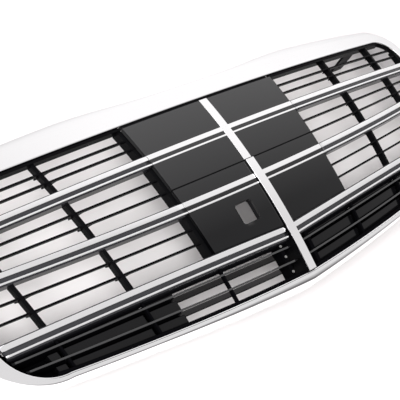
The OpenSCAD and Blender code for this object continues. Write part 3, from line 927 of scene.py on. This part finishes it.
bm = bmesh.new()
add_box(bm, (-low_spine_half, low_spine_half), (0, low_length), (spine_proud, 0.8), lower_spine, radius=0.6)
show("lower_upright_strip", bm, [chrome], ["lower_spine_strip"])
bm = bmesh.new()
add_box(bm, (-low_spine_half + 1, low_spine_half - 1), (0.2, low_length - 0.2), (0.75, -0.75), lower_spine,
        radius=0.2)
add_box(bm, (-low_spine_half + 0.6, low_spine_half - 0.6), (0.2, rail_top), (0.7, -32), lower_spine)
show("upright_strip_rail", bm, [satin_black], ["spine_rail"])


# Fixings: zinc-plated pan-head screws hold the lattice's ears to the carrier's bosses, and smaller
# ones hold the blades to the post left of the spine.
pan_screw = {"head_r": 4, "head_h": 2.6, "shank_r": 1.25, "shank_l": 11.5}
post_screw = {"head_r": 2, "head_h": 1.2, "shank_r": 0.8, "shank_l": 4}
post_share = (0.1, 0.39, 0.8)
post_front = -7


def add_screw(bm, centre, up, head_r, head_h, shank_r, shank_l):
    """Pan-head screw with a round recess; centre is under the head, in millimetres."""
    part = bmesh.new()
    bmesh.ops.create_cone(part, cap_ends=True, segments=36, radius1=head_r, radius2=head_r * 0.86,
                          depth=head_h, matrix=Matrix.Translation((0, 0, head_h / 2)))
    rims = [e for e in part.edges if abs(e.verts[0].co.z - e.verts[1].co.z) < 0.01]
    bmesh.ops.bevel(part, geom=rims, affect="EDGES", offset=head_h * 0.2, segments=3, profile=0.5,
                    material=-1)
    top = max(part.faces, key=lambda f: f.calc_center_median().z)
    bmesh.ops.inset_individual(part, faces=[top], thickness=head_r * 0.35)
    draw_out(part, [top], (0, 0, -head_h * 0.5))
    bmesh.ops.delete(part, geom=[top], context="FACES_ONLY")
    bmesh.ops.create_cone(part, cap_ends=True, segments=24, radius1=shank_r, radius2=shank_r, depth=shank_l,
                          matrix=Matrix.Translation((0, 0, -shank_l / 2)))
    turn = Matrix.Identity(4) if up else Matrix.Rotation(pi, 4, "X")
    place = Matrix.Scale(0.001, 4) @ Matrix.Translation(centre) @ turn
    bmesh.ops.transform(part, verts=part.verts, matrix=place)
    bmesh.ops.recalc_face_normals(part, faces=part.faces)
    join_part(bm, part)


zinc = finish("zinc_plate", (0.4, 0.4, 0.39), 0.35, metallic=1, grain=800, relief=0.1, wear=0.12)
bm = bmesh.new()
for side in (-1, 1):
    for y in ear_y:
        across = fan_x(ear_x, y)
        add_screw(bm, (side * across, y, skin_z(across, y, ear_d) - 0.3), False, **pan_screw)
show("carrier_pan_screws", bm, [zinc], ["carrier_screws"])
bm = bmesh.new()
for share in post_share:
    y = row_y(3, share, post_x)
    across = -fan_x(post_x, y)
    add_screw(bm, (across, y, skin_z(across, y, post_front)), True, **post_screw)
show("post_screws", bm, [zinc], [])


# Carrier and camera bracket: plain satin mouldings behind the plates, seen from the back and through
# the camera's window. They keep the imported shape.
carrier_black = finish("carrier_black", (0.008, 0.008, 0.009), 0.4, ior=1.15, grain=1200, relief=0.2)
for node in ("centre_carrier", "camera_bracket"):
    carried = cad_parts[node]
    carried.data.materials.clear()
    carried.data.materials.append(carrier_black)


# Floor: a wide sheet of white studio paper under the grille. It is staging and not part of the
# object.
studio_paper = finish("studio_paper", (0.9, 0.872, 0.872), 0.8, specular=0.1, grain=300, relief=0.05,
                      wear=0.03)
bm = bmesh.new()
bmesh.ops.create_grid(bm, x_segments=2, y_segments=2, size=40)
mesh = bpy.data.meshes.new("floor")
bm.to_mesh(mesh)
bm.free()
floor = bpy.data.objects.new("floor", mesh)
scene.collection.objects.link(floor)
floor.location.z = cad_box[0].z
floor.data.materials.append(studio_paper)


# Light: an even white room, a little brighter high at the far right, with a bright pane high on the
# left. A darker near wall draws the lower edges of the plating. One soft box, high at the near left,
# gives gentle shadows.
world = bpy.data.worlds.new("white_room")
world.use_nodes = True
nodes = world.node_tree.nodes
links = world.node_tree.links
room = nodes["Background"]
room.inputs["Color"].default_value = (1, 0.985, 0.985, 1)
direction = nodes.new("ShaderNodeTexCoord")


def patch(towards, start, full, far, near):
    """Soft-edged patch of the room round one direction, as a brightness."""
    facing = nodes.new("ShaderNodeVectorMath")
    facing.operation = "DOT_PRODUCT"
    facing.inputs[1].default_value = Vector(towards).normalized()
    blend = nodes.new("ShaderNodeMapRange")
    blend.interpolation_type = "SMOOTHSTEP"
    blend.inputs["From Min"].default_value = start
    blend.inputs["From Max"].default_value = full
    blend.inputs["To Min"].default_value = far
    blend.inputs["To Max"].default_value = near
    links.new(direction.outputs["Generated"], facing.inputs[0])
    links.new(facing.outputs["Value"], blend.inputs["Value"])
    return blend.outputs["Result"]


def joined(operation, a, b):
    step = nodes.new("ShaderNodeMath")
    step.operation = operation
    links.new(a, step.inputs[0])
    links.new(b, step.inputs[1])
    return step.outputs["Value"]


glow = patch((0.6, 0.6, 0.5), 0.72, 1, 0.8, 1.12)
near_wall = patch((0.31, -0.93, -0.2), 0.5, 0.9, 1, 0.2)
pane = patch((-0.76, 0.23, 0.54), 0.9, 1, 0, 3)
links.new(joined("ADD", joined("MULTIPLY", glow, near_wall), pane), room.inputs["Strength"])
scene.world = world
scene.view_settings.view_transform = "Standard"

box_size = 1.3
box_from = Vector((-1.3, -0.65, 2.0))
box_target = Vector((0, 0, 0.05))
box_data = bpy.data.lights.new("near_left_box", "AREA")
box_data.shape = "RECTANGLE"
box_data.size = box_size
box_data.size_y = box_size
box_data.energy = 60
box_light = bpy.data.objects.new("near_left_box", box_data)
scene.collection.objects.link(box_light)
box_light.location = box_from
box_light.rotation_euler = (box_target - box_from).to_track_quat("-Z", "Y").to_euler()
box_light.visible_glossy = False
